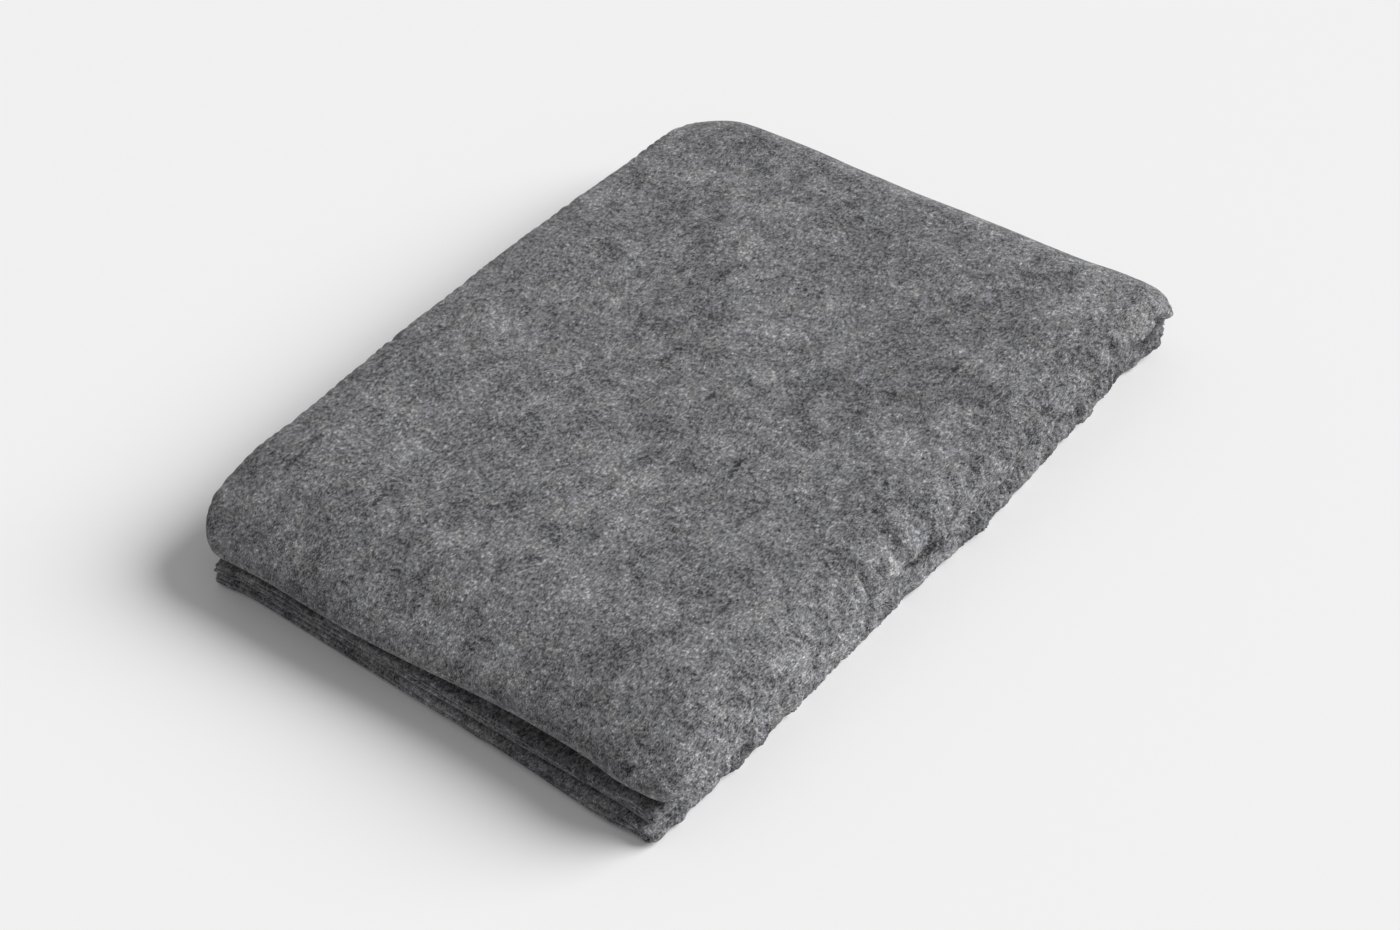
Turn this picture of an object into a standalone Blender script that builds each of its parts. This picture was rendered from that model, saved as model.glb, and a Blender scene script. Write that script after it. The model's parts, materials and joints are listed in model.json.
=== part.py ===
"""Folded throw blanket: one sheet of thick felt, folded to a pile of flat plies.

The sheet is folded twice across its width, which makes a strip of four plies, and the strip is
then folded twice along its length, which makes four panels. From the floor up the panels are
bottom, lower inner, upper inner and top. The front fold joins the top panel to the upper inner
one. At the back, the outer fold joins the bottom panel to the top one, and the inner fold joins
the two inner panels. The last fold made is the back one: the upper half opens there like a book,
about a line along X in the middle of the pile's height.

Metres, +X across the pile, +Y towards the back fold, +Z up, origin under the pile's centre.
"""
import bpy
import bmesh
from math import cos, pi, radians, sin
from mathutils import Vector

# Driving dimensions
PILE_WIDTH = 0.3275         # across the pile, X
PILE_LENGTH = 0.4345        # front fold to back fold, Y
PLY_THICKNESS = 0.0029      # one layer of the felt, pressed by the pile
PLY_GAP = 0.0003            # clearance between neighbouring plies
PLIES_PER_PANEL = 4         # the sheet is folded twice across its width
FRONT_SETBACK = 0.004       # the cut ends lie this far behind the front fold
CUT_END_STEP = 0.0004       # each ply's cut end lies this much behind the one above it
EDGE_SEGMENTS = 4           # facets round a ply's rolled long edge
ARC_SEGMENT_LENGTH = 0.005  # longest facet round a fold, on its outer side
FEWEST_ARC_SEGMENTS = 8     # facets round the tightest fold

PANELS = ("bottom_panel", "lower_inner_panel", "upper_inner_panel", "top_panel")

# Derived sizes
PLY_PITCH = PLY_THICKNESS + PLY_GAP
PANEL_PITCH = PLIES_PER_PANEL * PLY_PITCH
PILE_HEIGHT = len(PANELS) * PANEL_PITCH - PLY_GAP
MIDDLE_Z = PILE_HEIGHT / 2                                   # between the two halves
FRONT_FOLD_Z = 3 * PANEL_PITCH - PLY_GAP / 2                 # between upper inner and top panel
BACK_FOLD_Y = PILE_LENGTH / 2 - MIDDLE_Z                     # centre line of both back folds
FRONT_FOLD_Y = -PILE_LENGTH / 2 + PANEL_PITCH - PLY_GAP / 2  # centre line of the front fold

# The felt: mid grey, slightly cool, fully matt
FELT_COLOUR = (0.165, 0.166, 0.172, 1.0)
FELT_ROUGHNESS = 0.95


def clear_scene():
    for old in list(bpy.data.objects):
        bpy.data.objects.remove(old, do_unlink=True)


def felt_material(name):
    material = bpy.data.materials.new(name + "_felt")
    material.use_nodes = True
    shader = material.node_tree.nodes["Principled BSDF"]
    shader.inputs["Base Color"].default_value = FELT_COLOUR
    shader.inputs["Roughness"].default_value = FELT_ROUGHNESS
    shader.inputs["Metallic"].default_value = 0.0
    return material


def ply_section(bm, y):
    """One ply's outline across the pile, lying round (y, 0): flat faces and rolled long edges."""
    radius = PLY_THICKNESS / 2
    side = PILE_WIDTH / 2 - radius
    verts = []
    for centre, start in ((side, -90.0), (-side, 90.0)):
        for step in range(EDGE_SEGMENTS + 1):
            angle = radians(start + 180.0 * step / EDGE_SEGMENTS)
            verts.append(bm.verts.new((centre + radius * cos(angle), y, radius * sin(angle))))
    return bm.faces.new(verts)


def finish_object(bm, name, location, parent):
    bmesh.ops.recalc_face_normals(bm, faces=bm.faces)
    mesh = bpy.data.meshes.new(name)
    bm.to_mesh(mesh)
    bm.free()
    mesh.shade_smooth()
    mesh.set_sharp_from_angle(angle=radians(50))
    piece = bpy.data.objects.new(name, mesh)
    piece.data.materials.append(felt_material(name))
    piece.location = location
    piece.parent = parent
    bpy.context.scene.collection.objects.link(piece)
    return piece


def flat_ply(name, front_y, back_y, z, parent):
    """A ply between two fold lines, extruded along Y; z is the height of its middle."""
    bm = bmesh.new()
    face = ply_section(bm, front_y)
    extruded = bmesh.ops.extrude_face_region(bm, geom=[face], use_keep_orig=True)
    moved = [v for v in extruded["geom"] if isinstance(v, bmesh.types.BMVert)]
    bmesh.ops.translate(bm, verts=moved, vec=Vector((0, back_y - front_y, 0)))
    return finish_object(bm, name, Vector((0, 0, z)) - parent.location, parent)


def folded_ply(name, centre, radius, turn, parent):
    """A ply's half turn round a line along X: spun from below the centre to above it.

    turn is +1 where the fold bulges towards the back and -1 towards the front.
    """
    outer = radius + PLY_THICKNESS / 2
    segments = max(FEWEST_ARC_SEGMENTS, round(pi * outer / ARC_SEGMENT_LENGTH))
    bm = bmesh.new()
    face = ply_section(bm, 0.0)
    bmesh.ops.translate(bm, verts=face.verts, vec=Vector((0, 0, -radius)))
    bmesh.ops.spin(bm, geom=[face], cent=Vector((0, 0, 0)), axis=Vector((turn, 0, 0)),
                   angle=pi, steps=segments, use_duplicate=False)
    return finish_object(bm, name, centre - parent.location, parent)


def half_of_pile(name, location):
    """An empty that carries one half; the upper half's stands on the last fold's line."""
    empty = bpy.data.objects.new(name, None)
    empty.location = location
    bpy.context.scene.collection.objects.link(empty)
    return empty


def add_panels(lower, upper):
    for panel_number, panel in enumerate(PANELS):
        is_lower = panel_number < 2
        for ply in range(PLIES_PER_PANEL):
            level = panel_number * PLIES_PER_PANEL + ply
            z = level * PLY_PITCH + PLY_THICKNESS / 2
            if is_lower:
                plies_below_middle = 2 * PLIES_PER_PANEL - 1 - level
                front_y = -PILE_LENGTH / 2 + FRONT_SETBACK + plies_below_middle * CUT_END_STEP
            else:
                front_y = FRONT_FOLD_Y + PLY_GAP
            flat_ply(f"{panel}_ply_{ply + 1}", front_y, BACK_FOLD_Y - PLY_GAP, z,
                     lower if is_lower else upper)


def add_folds(lower, upper):
    front = Vector((0, FRONT_FOLD_Y, FRONT_FOLD_Z))
    back = Vector((0, BACK_FOLD_Y, MIDDLE_Z))
    for ply in range(PLIES_PER_PANEL):
        radius = ply * PLY_PITCH + PLY_PITCH / 2
        folded_ply(f"front_fold_ply_{ply + 1}", front, radius, -1, upper)
        folded_ply(f"back_inner_fold_ply_{ply + 1}", back, radius, 1, lower)
        folded_ply(f"back_outer_fold_ply_{ply + 1}", back, radius + PANEL_PITCH, 1, lower)


def main():
    clear_scene()
    lower_half = half_of_pile("lower_half", Vector((0, 0, 0)))
    upper_half = half_of_pile("upper_half", Vector((0, BACK_FOLD_Y, MIDDLE_Z)))
    add_panels(lower_half, upper_half)
    add_folds(lower_half, upper_half)


main()
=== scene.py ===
"""Looks of the folded throw: one sheet of grey melange felt, folded in four both ways.

The sheet is drawn as the strip that it makes once it is folded twice across its width: a section
with four plies, swept along the pile's path of panels and folds. The strip is cut where the
hinge needs it: each half of the pile rides on its own body, and the two back folds are pieces
of their own between them.
"""
import json
from math import cos, pi, radians, sin

import bpy
import numpy as np
from mathutils import Matrix, Vector


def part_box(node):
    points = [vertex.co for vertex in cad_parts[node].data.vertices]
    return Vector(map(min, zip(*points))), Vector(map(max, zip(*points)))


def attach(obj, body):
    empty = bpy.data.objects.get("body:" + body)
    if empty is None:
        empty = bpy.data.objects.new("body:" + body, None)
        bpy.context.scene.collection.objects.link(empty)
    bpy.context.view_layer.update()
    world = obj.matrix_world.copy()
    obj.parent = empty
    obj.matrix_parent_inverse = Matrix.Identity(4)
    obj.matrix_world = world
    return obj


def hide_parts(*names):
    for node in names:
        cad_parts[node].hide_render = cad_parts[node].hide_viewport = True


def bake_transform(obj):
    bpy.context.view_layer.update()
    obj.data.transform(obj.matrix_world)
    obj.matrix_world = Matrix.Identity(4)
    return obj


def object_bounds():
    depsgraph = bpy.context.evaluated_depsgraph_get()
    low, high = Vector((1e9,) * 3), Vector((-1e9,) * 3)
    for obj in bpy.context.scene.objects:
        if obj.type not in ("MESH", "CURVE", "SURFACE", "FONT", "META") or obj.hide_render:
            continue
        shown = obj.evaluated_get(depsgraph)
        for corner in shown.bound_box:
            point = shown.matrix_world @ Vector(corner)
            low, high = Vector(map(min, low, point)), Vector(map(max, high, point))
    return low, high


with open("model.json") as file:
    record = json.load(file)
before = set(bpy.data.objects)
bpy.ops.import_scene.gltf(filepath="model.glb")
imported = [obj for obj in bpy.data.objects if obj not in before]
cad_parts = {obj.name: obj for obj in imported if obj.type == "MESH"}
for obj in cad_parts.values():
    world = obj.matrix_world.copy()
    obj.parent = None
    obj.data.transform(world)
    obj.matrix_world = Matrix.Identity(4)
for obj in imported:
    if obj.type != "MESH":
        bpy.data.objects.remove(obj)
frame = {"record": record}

CAD_LOW, CAD_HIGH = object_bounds()

# ---------------------------------------------------------------- sizes, read from the frame
HINGE = frame["record"]["behaviour"]["joints"][0]
BACK_Y, MIDDLE_Z = HINGE["pos_m"][1:]                 # centre line of both back folds
PLY_LOW, PLY_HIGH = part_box("bottom_panel_ply_1")
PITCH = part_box("bottom_panel_ply_2")[0][2] - PLY_LOW[2]      # ply to ply
GAP = PITCH - (PLY_HIGH[2] - PLY_LOW[2])
WIDTH = CAD_HIGH[0] - CAD_LOW[0]
FRONT_EDGE = CAD_LOW[1]
BACK_EDGE = CAD_HIGH[1]
HEIGHT = CAD_HIGH[2] - CAD_LOW[2]
PANEL = 4 * PITCH                                     # one panel of four plies
FRONT_Z = MIDDLE_Z + PANEL                            # centre line of the front fold
FRONT_Y = FRONT_EDGE + PANEL - GAP / 2
CUT_END_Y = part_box("lower_inner_panel_ply_4")[0][1]   # where the lower half's cut ends lie

HALF_THICK = 0.00138                                  # half the felt's thickness
ROW = 0.0017                                          # mesh spacing along the pile
FINE_ROW = 0.0011                                     # the same in the lower half, for its small lobes

# How high the settled cloth stands
SOFT_TOP = 0.0503                                     # the pile's top, in the middle
FREE_ENDS_TOP = 0.0168                                # the lower half's top, at the front
GAPE_TOP = 0.0240                                     # the upper half's underside, at the front

# Pitches of the puckers along the side folds
LEFT_LOBE, RIGHT_LOBE = 0.0080, 0.0088                # on the left, and on the upper half's right
SMALL_LOBE = 0.0054                                   # on the lower half's right

# The four panels' middle heights, from the floor up
BOTTOM_Z, LOWER_INNER_Z = MIDDLE_Z - 1.5 * PANEL, MIDDLE_Z - 0.5 * PANEL
UPPER_INNER_Z, TOP_Z = MIDDLE_Z + 0.5 * PANEL, MIDDLE_Z + 1.5 * PANEL


# ---------------------------------------------------------------- smooth random fields
def waves(points, length, seed, count=28):
    """A smooth random field over the points, with a spread of about 1 and this wavelength."""
    rng = np.random.default_rng(seed)
    heading = rng.normal(size=(count, points.shape[1]))
    heading /= np.linalg.norm(heading, axis=1)[:, None]
    number = heading * (2 * pi / length) * rng.uniform(0.65, 1.5, (count, 1))
    phase = rng.uniform(0, 2 * pi, count)
    return np.sin(points @ number.T + phase).sum(axis=1) * np.sqrt(2.0 / count)


def lobes(place, pitch, seed):
    """Uneven rounded lobes along place, about -0.6 in the notches between them and 0.4 on top."""
    uneven = waves(place[:, None], 5 * pitch, seed) * 0.30 * pitch
    return np.sqrt(np.sin(pi * (place + uneven) / pitch) ** 2 + 0.01) - 0.6


def ease(value, start, end):
    """0 before start, 1 after end, smooth between."""
    t = np.clip((value - start) / (end - start), 0, 1)
    return t * t * (3 - 2 * t)


def bell(value, centre, width):
    return np.exp(-((value - centre) / width) ** 2)


# ---------------------------------------------------------------- how the soft pile lies
# a runs from -1 on the left long side to 1 on the right one, b from 0 at the front to 1 at the back
def place_in_pile(points):
    x, y, z = points.T
    return x / (WIDTH / 2), (y - FRONT_EDGE) / (BACK_EDGE - FRONT_EDGE), z


def near_corner(points, side, end, reach):
    """1 at one of the pile's four upright corners, easing to 0 at this reach from it."""
    end_y = BACK_EDGE if end > 0 else FRONT_EDGE
    distance = np.hypot(points[:, 0] - side * WIDTH / 2, points[:, 1] - end_y)
    return 1 - ease(distance, 0, reach)


def slope(distance, reach):
    """1 at an edge, easing to 0 at this reach from it, steepest at the edge."""
    return np.clip(1 - distance / reach, 0, 1) ** 2


def moves(points, x=0.0, y=0.0, z=0.0):
    """One move for every point."""
    move = np.empty_like(points)
    move[:, 0], move[:, 1], move[:, 2] = x, y, z
    return move


def top_height(points):
    """How high the top of the pile stands over each place. It falls off towards its edges."""
    a, b, _ = place_in_pile(points)
    plan = points[:, :2]
    from_left, from_right = (1 + a) * WIDTH / 2, (1 - a) * WIDTH / 2
    from_front = points[:, 1] - FRONT_EDGE
    middle = SOFT_TOP - 0.0015 * ease(b, 0.25, 1.0)
    swells = 0.0005 * waves(plan, 0.15, 1) + 0.00022 * waves(plan, 0.045, 2)
    left_drop = 0.0040 * slope(from_left, 0.030)
    right_drop = 0.0085 * slope(from_right, 0.038) + 0.0032 * slope(from_right, 0.013)
    right_drop *= 1 - 0.4 * ease(b, 0.82, 1.0)
    front_drop = (0.0136 + 0.0040 * bell(a, -0.20, 0.45)) * slope(from_front, 0.063) ** 0.70
    corner_drop = 0.0030 * near_corner(points, -1, -1, 0.060) + 0.0040 * near_corner(points, -1, 1, 0.050)
    return middle + swells - np.sqrt(right_drop ** 2 + left_drop ** 2 + front_drop ** 2) - corner_drop


def lower_half_height(points, top):
    """The lower half's top; at the front its free ends lie flatter than the folded part."""
    a, b, _ = place_in_pile(points)
    even = top * MIDDLE_Z / HEIGHT + 0.0050 * ease(a, 0.75, 1.0) * ease(b, 0.26, 0.68)
    even += (MIDDLE_Z - even) * ease(b, 0.86, 0.94)   # level at the hinge, so the open halves meet
    flat = FREE_ENDS_TOP + 0.0040 * ease(a, 0.75, 0.95) - 0.0022 * bell(a, 0.50, 0.35)
    flat += 0.0005 * waves(points[:, :2], 0.06, 3)
    return even + (flat - even) * (1 - ease(b, 0.0, 0.20))


def upper_half_floor(points, lower_top):
    """The upper half's underside: its front fold gapes over the free ends."""
    a, b, _ = place_in_pile(points)
    edge = GAPE_TOP - 0.0015 * ease(a, 0.75, 1.0)
    return lower_top + np.maximum(edge - lower_top, 0) * (1 - ease(b, 0.0, 0.17))


def settled_level(points, upper):
    """Each half's plies share out the height that the half has at their place."""
    z = points[:, 2]
    top = top_height(points)
    lower_top = lower_half_height(points, top)
    upper_floor = upper_half_floor(points, lower_top)
    low = z * lower_top / MIDDLE_Z
    high = upper_floor + (z - MIDDLE_Z) * (top - upper_floor) / (HEIGHT - MIDDLE_Z)
    return np.where(upper, high, low)


def panel_offset(points):
    """How far each panel's right-hand side fold lies out from the pile's ideal side."""
    _, b, z = place_in_pile(points)
    near, middle = 1 - ease(b, 0.04, 0.20), bell(b, 0.62, 0.16)
    far, corner = ease(b, 0.66, 0.80), ease(b, 0.92, 1.0)
    bottom = -0.0025 + 0.0022 * middle - 0.0020 * far + 0.0030 * corner
    bottom -= 0.0016 * bell(b, 0.45, 0.12) + 0.0034 * bell(b, 0.92, 0.05)
    lower_inner = -0.0070 + 0.0010 * middle - 0.0010 * far + 0.0060 * corner + 0.0040 * near
    upper_inner = 0.0032 - 0.0026 * ease(b, 0.25, 0.45) - 0.0019 * far + 0.0030 * corner
    top = 0.0036 - 0.0008 * middle - 0.0005 * far - 0.0022 * corner
    offset = bottom + (lower_inner - bottom) * ease(z, 0.0100, 0.0155)
    offset += (upper_inner - lower_inner) * ease(z, 0.0225, 0.0285)
    return offset + (top - upper_inner) * ease(z, 0.0355, 0.0405)


def side_shape(points, upper):
    """The panels' folds lie out unevenly on the right, and the left side is hollow halfway up.

    The upper half's right side also has a lip at the bottom and a crease along its near shoulder.
    """
    a, b, z = place_in_pile(points)
    right, left = ease(a, 0.88, 1.0), ease(-a, 0.90, 1.0)
    hollow = left * 0.0030 * bell(z, MIDDLE_Z, 0.0095)
    lip = upper * right * 0.0024 * bell(z, MIDDLE_Z + 0.0055, 0.0017)
    shoulder = bell(z, HEIGHT - 0.0018, 0.0018) * bell(a, 0.988, 0.012) * (1 - ease(b, 0.40, 0.65))
    out = ease(a, 0, 1) * panel_offset(points) + hollow + lip + 0.0007 * shoulder
    return moves(points, x=out, z=0.0010 * shoulder)


def puckers(points, upper):
    """The side folds pucker into lobes, and the top drags into shallow creases on the right."""
    a, b, z = place_in_pile(points)
    right, left = ease(a, 0.88, 1.0), ease(-a, 0.90, 1.0)
    y = points[:, 1]
    slanted = y - 0.9 * z
    uneven = 0.65 + 0.35 * waves(np.stack([y, 2 * z], axis=1), 0.05, 4)
    large = 0.0022 * lobes(slanted, RIGHT_LOBE, 5)
    left_lobe = uneven * lobes(slanted, LEFT_LOBE, 6)
    small = 0.0042 * lobes(slanted, SMALL_LOBE, 10)
    right_lobe = uneven * np.where(upper, large, small)
    smooth_corner = np.where(upper, 1, ease(b, 0.03, 0.10))

    over_cloth = (1 - a) * WIDTH / 2 + HEIGHT - z      # across the top and on down the side
    across, along = over_cloth - 0.42 * y, y + 0.42 * over_cloth
    drag = waves(np.stack([across / 0.0085, along / 0.024], axis=1), 1.0, 9)

    out = right * (smooth_corner * right_lobe + 0.00050 * drag) - left ** 2 * 0.0014 * left_lobe
    up = ease(a, 0.78, 0.97) * 0.00040 * drag + right * 0.18 * right_lobe + left * 0.0002 * left_lobe
    return moves(points, x=out, z=up * ease(z, HEIGHT - 2 * PANEL, HEIGHT))


def free_ends(points, upper):
    """The lower half's cut ends lie in pairs, set back unevenly, and its two panels part."""
    a, b, z = place_in_pile(points)
    end = ~upper * (1 - ease(b, 0.0, 0.12))
    pairing = 0.0007 * np.sin(pi * z / PITCH) * ease(z, 0, 0.002)
    parting = 0.0006 * bell(z, PANEL + 0.004, 0.004) - 0.0010 * bell(z, PANEL - 0.004, 0.004)
    panel_back = 0.0045 * ease(z, PANEL - 0.001, PANEL + 0.001) * ease(a, -0.4, 0.3)
    uneven = waves(np.stack([points[:, 0], 4 * z], axis=1), 0.05, 7) + waves(z[:, None], 0.012, 8)
    back = panel_back + (1 - ease(a, 0.85, 0.97)) * (0.0010 + 0.0007 * uneven)
    near_right = ~upper * ease(a, 0.88, 1.0) * (1 - ease(points[:, 1], FRONT_EDGE, FRONT_EDGE + 0.030))
    ear = ~upper * near_corner(points, -1, -1, 0.030)  # the left corner sticks out a little
    return moves(points, -0.0015 * near_right - 0.0010 * ear, end * back - 0.0035 * ear,
                 end * (pairing + parting))


def outline(points, upper, settled_y):
    """The halves don't lie quite square on each other."""
    a, b, _ = place_in_pile(points)
    left_share, near_front = ease(-a, 0, 1), 1 - ease(b, 0, 0.45)
    out = left_share * (0.0050 * bell(b, 0.50, 0.24) - 0.0025)
    lower_in = left_share * ~upper * (0.0040 + 0.0110 * near_front)
    roll_back = 0.0040 + 0.0070 * ease(a, -0.35, 0.50) + 0.0025 * ease(a, 0.92, 1.0)
    roll_back -= 0.0025 * bell(a, 0.82, 0.10) + 0.0025 * ease(-a, 0.6, 1.0)
    ends_back = 0.0022 * left_share + 0.0015 * bell(a, -0.30, 0.35)
    front_back = near_front * np.where(upper, roll_back, ends_back)
    far_out = 0.0040 * ease(settled_y + front_back, BACK_Y, BACK_EDGE) * ease(a, 0.5, 1.0)
    return moves(points, lower_in - out, front_back + far_out)


def rounded_corner(points, side, end, radius):
    """Moves that draw the points in so that an upright corner turns round; radius may vary."""
    end_y = BACK_EDGE if end > 0 else FRONT_EDGE
    p = np.clip(1 - (WIDTH / 2 - side * points[:, 0]) / radius, 0, 1)
    q = np.clip(1 - (end * end_y - end * points[:, 1]) / radius, 0, 1)
    draw_x = p * (1 - np.sqrt(1 - q ** 2 / 2)) * radius
    draw_y = q * (1 - np.sqrt(1 - p ** 2 / 2)) * radius
    return moves(points, -side * draw_x, -end * draw_y)


def square_off(points, centre_y, centre_z, way, share):
    """Makes a round fold fuller between its crown and its flat stretches."""
    out = (points[:, 1] - centre_y) * way
    rise = points[:, 2] - centre_z
    fuller = 1 + share * np.sin(2 * np.arctan2(rise, out)) ** 2
    inside = out > 0
    squared = points.copy()
    squared[:, 1] = np.where(inside, centre_y + way * out * fuller, points[:, 1])
    squared[:, 2] = np.where(inside, centre_z + rise * fuller, points[:, 2])
    return squared


def settle(points):
    """Moves the ideal pile's points to where the soft cloth lies.

    The moves are smooth within each half, so that its plies don't cross.
    """
    upper = points[:, 2] > MIDDLE_Z
    points = square_off(points, BACK_Y, MIDDLE_Z, 1, 0.12)
    points = np.where(upper[:, None], square_off(points, FRONT_Y, FRONT_Z, -1, 0.08), points)
    moved = points.copy()
    moved[:, 2] = settled_level(points, upper)
    moved += side_shape(points, upper)
    moved += puckers(points, upper)
    moved += free_ends(points, upper)
    moved += outline(points, upper, moved[:, 1])
    for side, end, upper_radius, lower_radius in (
            (-1, -1, 0.031, 0.005), (1, -1, 0.008, 0.006), (1, 1, 0.008, 0.008), (-1, 1, 0.034, 0.034)):
        moved += rounded_corner(points, side, end, np.where(upper, upper_radius, lower_radius))
    return moved


# ---------------------------------------------------------------- the folded sheet
def straight(x0, x1, level, start_step, middle_step, end_step):
    """Points across the strip on one level, closer together near its ends."""
    edge, span = 0.030, abs(x1 - x0)
    start = np.linspace(0, edge, round(edge / start_step) + 1)
    middle = np.linspace(edge, span - edge, round((span - 2 * edge) / middle_step) + 1)
    end = np.linspace(span - edge, span, round(edge / end_step) + 1)
    reach = np.concatenate([start, middle[1:-1], end])
    return [(x0 + np.sign(x1 - x0) * d, level) for d in reach]


def turn(centre, level, radius, start, end, steps, squareness=2.0):
    """Points round a side fold, without its ends. A squareness of 2 is round, and more is boxy."""
    points = []
    for angle in np.radians(np.linspace(start, end, steps + 1)[1:-1]):
        c, s = cos(angle), sin(angle)
        reach = radius / (abs(c) ** squareness + abs(s) ** squareness) ** (1 / squareness)
        points.append((centre + reach * c, level + reach * s))
    return points


def strip_section():
    """The sheet's middle line across the folded strip, from one cut edge to the other.

    Returns (across, level) points, their unit normals and the sheet's width. Level
    is measured from the strip's middle, towards the ply that faces out of the pile.
    """
    outer, inner = 1.5 * PITCH, 0.5 * PITCH
    right = WIDTH / 2 - outer - HALF_THICK            # centre of the two right-hand side folds
    left = -(WIDTH / 2 - inner - HALF_THICK)          # centre of the left-hand side fold
    cut = left - 0.0012                               # the two cut edges
    hidden_steps = 0.010, 0.060, 0.010
    shown_steps = 0.0020, 0.012, 0.0050               # finest by the right-hand edge
    points = straight(cut, right, -outer, *hidden_steps)
    points += turn(right, 0, outer, -90, 90, steps=14, squareness=2.1)
    points += straight(right, left, outer, *shown_steps)
    points += turn(left, PITCH, inner, 90, 270, steps=6)
    points += straight(left, right, inner, *hidden_steps)
    points += turn(right, 0, inner, 90, -90, steps=6)
    points += straight(right, cut, -inner, *hidden_steps)
    line = np.array(points)
    ahead = np.gradient(line, axis=0)
    ahead /= np.linalg.norm(ahead, axis=1)[:, None]
    normal = np.stack([ahead[:, 1], -ahead[:, 0]], axis=1)
    return line, normal, np.linalg.norm(np.diff(line, axis=0), axis=1).sum()


def flat_path(y0, y1, z, out, row=ROW):
    """A straight stretch along the pile; out is +1 where the strip's outer ply faces up."""
    y = np.linspace(y0, y1, round(abs(y1 - y0) / row) + 1)
    return np.stack([y, np.full_like(y, z), np.zeros_like(y), np.full_like(y, out)], axis=1)


def arc_path(centre_y, centre_z, radius, start, end, out):
    """A fold from one polar angle to another; out is +1 where the outer ply is outside."""
    widest = radius + 1.5 * PITCH * out
    count = max(12, round(abs(radians(end - start)) * widest / ROW))
    angle = np.radians(np.linspace(start, end, count + 1))
    c, s = np.cos(angle), np.sin(angle)
    return np.stack([centre_y + radius * c, centre_z + radius * s, out * c, out * s], axis=1)


def join_paths(*paths):
    return np.concatenate([paths[0]] + [path[1:] for path in paths[1:]])


def half_thickness(path, round_start, round_end):
    """The felt's half thickness at each row, rounded off at a cut end."""
    half = np.full(len(path), HALF_THICK)
    for wanted, rows in ((round_start, (0, 1, 2)), (round_end, (-1, -2, -3))):
        if wanted:
            half[list(rows)] *= (0.45, 0.85, 0.98)
    return half


def quads(block):
    return np.stack([block[:-1, :-1], block[1:, :-1], block[1:, 1:], block[:-1, 1:]],
                    axis=-1).reshape(-1, 4)


def put_in_scene(name, data):
    thing = bpy.data.objects.new(name, data)
    bpy.context.scene.collection.objects.link(thing)
    return thing


def strip_piece(name, path, round_start, round_end):
    """The folded strip along a path of (y, z, outward y, outward z), as one closed mesh.

    Returns the piece and the width and length of the sheet in it.
    """
    line, normal, width = strip_section()
    half = half_thickness(path, round_start, round_end)
    rows, columns = len(path), len(line)
    grid = np.empty((2, rows, columns, 3))
    for side, face in enumerate((1, -1)):
        flat = line[None, :, :] + face * half[:, None, None] * normal[None, :, :]
        grid[side, :, :, 0] = flat[:, :, 0]
        grid[side, :, :, 1] = path[:, 0, None] + flat[:, :, 1] * path[:, 2, None]
        grid[side, :, :, 2] = path[:, 1, None] + flat[:, :, 1] * path[:, 3, None]
    points = settle(grid.reshape(-1, 3))
    top, under = np.arange(2 * rows * columns).reshape(2, rows, columns)
    faces = [quads(top), quads(under)[:, ::-1]]
    for column, flip in ((0, 1), (-1, -1)):           # the two cut edges
        faces.append(np.stack([top[:-1, column], under[:-1, column], under[1:, column],
                               top[1:, column]], axis=1)[:, ::flip])
    for row, flip in ((0, -1), (-1, 1)):              # the two ends
        faces.append(np.stack([top[row, :-1], under[row, :-1], under[row, 1:],
                               top[row, 1:]], axis=1)[:, ::flip])
    mesh = bpy.data.meshes.new(name)
    mesh.from_pydata(points.tolist(), [], np.concatenate(faces).tolist())
    mesh.shade_smooth()
    for row, free in ((0, round_start), (-1, round_end)):
        if not free:
            sharpen_end(mesh, set(top[row].tolist()) | set(under[row].tolist()))
    # the felt's pattern keeps to each point's place at rest
    attribute = mesh.attributes.new("felt_place", "FLOAT_VECTOR", "POINT")
    attribute.data.foreach_set("vector", points.astype(np.float32).ravel())
    length = np.linalg.norm(np.diff(path[:, :2], axis=0), axis=1).sum()
    return put_in_scene(name, mesh), width, length


def sharpen_end(mesh, ring):
    """Keeps the shading smooth up to an end where the strip goes on in the next piece."""
    for edge in mesh.edges:
        if edge.vertices[0] in ring and edge.vertices[1] in ring:
            edge.use_edge_sharp = True


# ---------------------------------------------------------------- the felt
MIX_A, MIX_B, MIX_RESULT = 6, 7, 2                    # sockets of a Mix node that mixes colours


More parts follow.
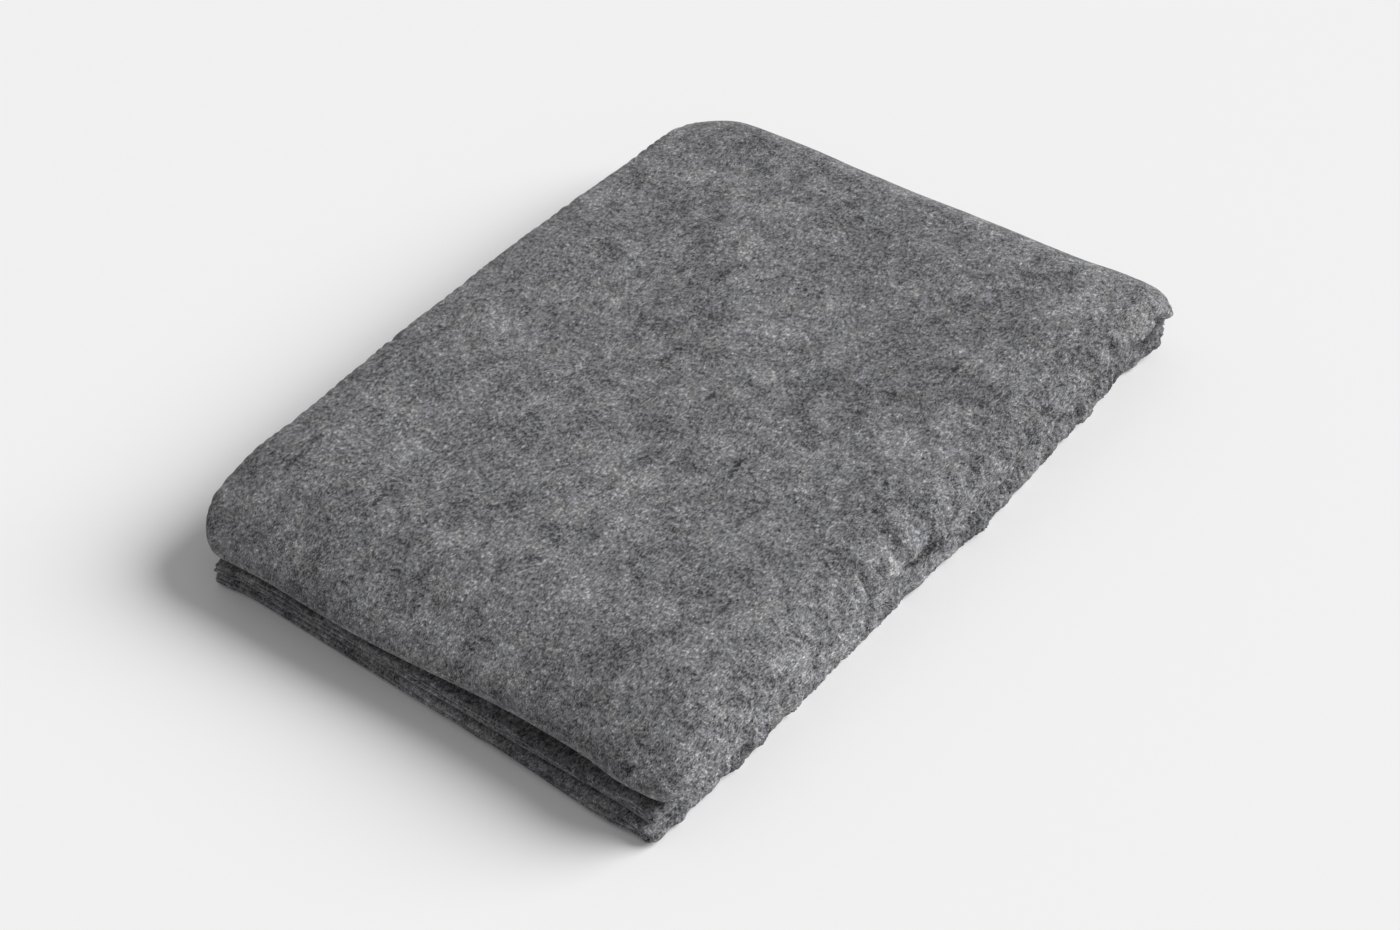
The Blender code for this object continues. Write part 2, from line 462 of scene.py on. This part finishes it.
class Nodes:
    """Adds shader nodes to one material, each with its inputs given as values or as sockets."""

    def __init__(self, material):
        material.use_nodes = True
        self.tree = material.node_tree

    def add(self, kind, inputs=None, output=0, **settings):
        node = self.tree.nodes.new(kind)
        for name, value in settings.items():
            setattr(node, name, value)
        for name, value in (inputs or {}).items():
            if isinstance(value, bpy.types.NodeSocket):
                self.tree.links.new(value, node.inputs[name])
            else:
                node.inputs[name].default_value = value
        return node.outputs[output]

    def math(self, operation, first, second=0.0, third=0.0):
        return self.add("ShaderNodeMath", {0: first, 1: second, 2: third}, operation=operation)

    def noise(self, place, size, detail=2.0, rough=0.5, distort=0.0, output="Fac"):
        """Noise whose blotches are about this size in metres."""
        return self.add("ShaderNodeTexNoise", {"Vector": place, "Scale": 0.5 / size, "Detail": detail,
                                               "Roughness": rough, "Distortion": distort}, output)

    def band(self, value, low, high):
        """0 where the value is low, 1 where it is high, smooth between; low may be above high."""
        return self.add("ShaderNodeMapRange", {"Value": value, "From Min": low, "From Max": high},
                        interpolation_type="SMOOTHSTEP")

    def spots(self, place, spacing, radius, share):
        """1 on small round spots, in a share of the cells of this spacing, and 0 elsewhere."""
        cells = self.add("ShaderNodeTexVoronoi", {"Vector": place, "Scale": 1 / spacing})
        voronoi = cells.node
        spot = self.band(voronoi.outputs["Distance"], radius / spacing, 0.4 * radius / spacing)
        pick = self.add("ShaderNodeSeparateColor", {"Color": voronoi.outputs["Color"]})
        return self.math("MULTIPLY", spot, self.math("LESS_THAN", pick, share))


def strokes(nodes, place, turned, width, length):
    """Short curled strokes of one direction: noise stretched along it."""
    rotated = nodes.add("ShaderNodeMapping", {"Vector": place, "Rotation": (0, 0, radians(turned)),
                                              "Scale": (1.0, width / length, 1.0)})
    return nodes.noise(rotated, width, detail=2.0)


def curl(nodes, place):
    """Stirs the place a little, so that the fibres drawn on it curl."""
    stir = nodes.noise(place, 0.0040, detail=1.0, output="Color")
    stir = nodes.add("ShaderNodeVectorMath", {0: stir, 1: (0.5, 0.5, 0.5)}, operation="SUBTRACT")
    stir = nodes.add("ShaderNodeVectorMath", {0: stir, "Scale": 0.0016}, operation="SCALE")
    return nodes.add("ShaderNodeVectorMath", {0: place, 1: stir}, operation="ADD")


def short_fibres(nodes, place, curled):
    """Short strokes in three directions, each showing in patches of its own."""
    ways = [strokes(nodes, curled, turned, width=0.00032, length=0.0009) for turned in (15, 75, 135)]
    choose = nodes.noise(place, 0.0022, detail=1.0, output="Color")
    choose = nodes.add("ShaderNodeSeparateColor", {"Color": choose}).node
    first = nodes.band(choose.outputs[0], 0.44, 0.56)
    second = nodes.band(choose.outputs[1], 0.49, 0.61)
    fibre = nodes.add("ShaderNodeMix", {"Factor": first, "A": ways[0], "B": ways[1]})
    return nodes.add("ShaderNodeMix", {"Factor": second, "A": fibre, "B": ways[2]})


def long_hairs(nodes, curled):
    """A few longer strokes that cross the short ones in two directions."""
    ways = [strokes(nodes, curled, turned, width=0.00040, length=0.0034) for turned in (105, 45)]
    return nodes.band(nodes.math("MAXIMUM", *ways), 0.60, 0.72)


def smudges(nodes, curled):
    """Dark blotches, all stretched one way."""
    place = nodes.add("ShaderNodeMapping", {"Vector": curled, "Rotation": (0, 0, radians(40)),
                                            "Scale": (1.0, 0.45, 1.0)})
    return nodes.band(nodes.noise(place, 0.0080, detail=3.0, rough=0.65), 0.62, 0.76)


def felt_tone(nodes, place, curled, fibre, tufts):
    """How pale the felt is at a place, about 0.5 on average."""
    mottle = nodes.noise(place, 0.0070, detail=2.0, rough=0.6, distort=0.6)
    clouds = nodes.noise(place, 0.0300, detail=2.0, rough=0.6, distort=0.4)
    tone = 0.5
    for layer, weight in ((fibre, 1.50), (tufts, 1.00), (mottle, 0.62), (clouds, 0.27)):
        tone = nodes.math("MULTIPLY_ADD", nodes.math("SUBTRACT", layer, 0.5), weight, tone)
    specks = nodes.spots(curled, spacing=0.0150, radius=0.0010, share=0.40)
    grains = nodes.spots(curled, spacing=0.0052, radius=0.0007, share=0.30)
    flecks = nodes.spots(curled, spacing=0.0370, radius=0.0008, share=0.22)
    for layer, weight in ((long_hairs(nodes, curled), 0.09), (smudges(nodes, curled), -0.30),
                          (specks, -0.60), (grains, -0.36), (flecks, 0.45)):
        tone = nodes.math("MULTIPLY_ADD", layer, weight, tone)
    return tone


def felt_colour(nodes, place, tone):
    """The melange's greys, which lean a little to warm or to cool in patches."""
    ramp = nodes.add("ShaderNodeValToRGB", {"Fac": tone})
    shades = ramp.node.color_ramp.elements
    shades[0].color = (0.012, 0.012, 0.013, 1)
    shades[1].color = (0.620, 0.620, 0.630, 1)
    shades.new(0.25).color = (0.052, 0.052, 0.056, 1)
    shades.new(0.50).color = (0.162, 0.162, 0.170, 1)
    shades.new(0.75).color = (0.286, 0.286, 0.296, 1)
    patches = nodes.band(nodes.noise(place, 0.0060, detail=2.0), 0.3, 0.7)
    warm, cool = (1.010, 1.003, 0.975, 1), (0.985, 0.992, 1.012, 1)
    lean = nodes.add("ShaderNodeMix", {"Factor": patches, MIX_A: warm, MIX_B: cool},
                     output=MIX_RESULT, data_type="RGBA")
    return nodes.add("ShaderNodeMix", {"Factor": 1.0, MIX_A: ramp, MIX_B: lean},
                     output=MIX_RESULT, data_type="RGBA", blend_type="MULTIPLY")


def felt_material():
    """Grey melange needle felt: pale and dark fibres in short curls, clouds, specks and smudges."""
    material = bpy.data.materials.new("felt_melange")
    nodes = Nodes(material)
    shader = nodes.tree.nodes["Principled BSDF"]
    place = nodes.add("ShaderNodeAttribute", output="Vector", attribute_name="felt_place")
    curled = curl(nodes, place)
    fibre = short_fibres(nodes, place, curled)
    tufts = nodes.noise(curled, 0.0012, detail=2.0, rough=0.6)
    tone = felt_tone(nodes, place, curled, fibre, tufts)
    nodes.tree.links.new(felt_colour(nodes, place, tone), shader.inputs["Base Color"])

    nap = nodes.math("MULTIPLY_ADD", fibre, 0.6, tufts)
    bump = nodes.add("ShaderNodeBump", {"Height": nap, "Strength": 0.7, "Distance": 0.0007})
    nodes.tree.links.new(bump, shader.inputs["Normal"])
    shader.inputs["Roughness"].default_value = 0.92
    shader.inputs["Specular IOR Level"].default_value = 0.2
    shader.inputs["Sheen Weight"].default_value = 0.12
    shader.inputs["Sheen Roughness"].default_value = 0.5
    return material


# ---------------------------------------------------------------- pieces
bottom_path = flat_path(CUT_END_Y, BACK_Y, BOTTOM_Z, -1, row=FINE_ROW)
outer_fold_path = arc_path(BACK_Y, MIDDLE_Z, 1.5 * PANEL, -90, 90, 1)
top_path = flat_path(BACK_Y, FRONT_Y, TOP_Z, 1)
front_fold_path = arc_path(FRONT_Y, FRONT_Z, 0.5 * PANEL, 90, 270, 1)
upper_inner_path = flat_path(FRONT_Y, BACK_Y, UPPER_INNER_Z, -1)
inner_fold_path = arc_path(BACK_Y, MIDDLE_Z, 0.5 * PANEL, 90, -90, -1)
lower_inner_path = flat_path(BACK_Y, CUT_END_Y, LOWER_INNER_Z, 1, row=FINE_ROW)

felt = felt_material()
sheet_length = 0.0
throw = {}
for name, path, round_start, round_end in (
        ("throw_bottom_panel", bottom_path, True, False),
        ("throw_back_outer_fold", outer_fold_path, False, False),
        ("throw_upper_half", join_paths(top_path, front_fold_path, upper_inner_path), False, False),
        ("throw_back_inner_fold", inner_fold_path, False, False),
        ("throw_lower_inner_panel", lower_inner_path, False, True)):
    piece, flat_width, flat_length = strip_piece(name, path, round_start, round_end)
    sheet_length += flat_length
    piece.data.materials.append(felt)
    throw[name] = piece
print("flat size", flat_width, sheet_length)

plies = (1, 2, 3, 4)
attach(throw["throw_bottom_panel"], "lower_half")
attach(throw["throw_lower_inner_panel"], "lower_half")
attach(throw["throw_upper_half"], "upper_half")
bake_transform(throw["throw_back_outer_fold"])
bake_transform(throw["throw_back_inner_fold"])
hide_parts(*[f"bottom_panel_ply_{n}" for n in plies])
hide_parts(*[f"lower_inner_panel_ply_{n}" for n in plies])
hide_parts(*[f"{part}_ply_{n}" for n in plies
                                         for part in ("upper_inner_panel", "top_panel", "front_fold")])
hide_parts(*[f"back_outer_fold_ply_{n}" for n in plies])
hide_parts(*[f"back_inner_fold_ply_{n}" for n in plies])


# ---------------------------------------------------------------- camera, floor and light
def aim(place, heading, tilt, roll, distance):
    """Camera matrix: it looks at place from that heading and height, turned by roll."""
    e, h, r = radians(tilt), radians(heading), radians(roll)
    back = Vector((sin(h) * cos(e), -cos(h) * cos(e), sin(e)))
    right = Vector((cos(h), sin(h), 0))
    up = back.cross(right)
    right, up = right * cos(r) + up * sin(r), up * cos(r) - right * sin(r)
    matrix = Matrix((right, up, back)).transposed().to_4x4()
    matrix.translation = Vector(place) + back * distance
    return matrix


camera_data = bpy.data.cameras.new("camera")
camera_data.sensor_width = 36.0
camera_data.lens = 69.994
camera_data.clip_start = 0.05
camera = put_in_scene("camera", camera_data)
camera.matrix_world = aim(place=(0.0236, -0.0144, 0.02), heading=45.33, tilt=42.62, roll=-7.76,
                          distance=1.436)
bpy.context.scene.camera = camera
bpy.context.scene.view_settings.view_transform = "Standard"

FLOOR_REACH = 6.0
FLOOR_BELOW = 0.0002                                  # clear of the cloth's underside
floor_mesh = bpy.data.meshes.new("floor")
floor_corners = [(FLOOR_REACH * x, FLOOR_REACH * y, 0) for x, y in ((-1, -1), (1, -1), (1, 1), (-1, 1))]
floor_mesh.from_pydata(floor_corners, [], [(0, 1, 2, 3)])
floor = put_in_scene("floor", floor_mesh)
floor.location.z = -FLOOR_BELOW
paint = bpy.data.materials.new("floor_paint")
paint.use_nodes = True
paint_shader = paint.node_tree.nodes["Principled BSDF"]
paint_shader.inputs["Base Color"].default_value = (0.96, 0.96, 0.96, 1)
paint_shader.inputs["Roughness"].default_value = 0.8
floor_mesh.materials.append(paint)

world = bpy.data.worlds.new("studio")
world.use_nodes = True
world.node_tree.nodes["Background"].inputs["Color"].default_value = (1, 1, 1, 1)
world.node_tree.nodes["Background"].inputs["Strength"].default_value = 0.31
bpy.context.scene.world = world

# one broad soft light, low from the camera's right, as large as a window
LIGHT_FROM = 0.62, 0.66, 0.54
sun_data = bpy.data.lights.new("window_light", "SUN")
sun_data.energy = 3.75
sun_data.angle = radians(40)
sun = put_in_scene("window_light", sun_data)
sun.rotation_euler = Vector(LIGHT_FROM).to_track_quat("Z", "Y").to_euler()
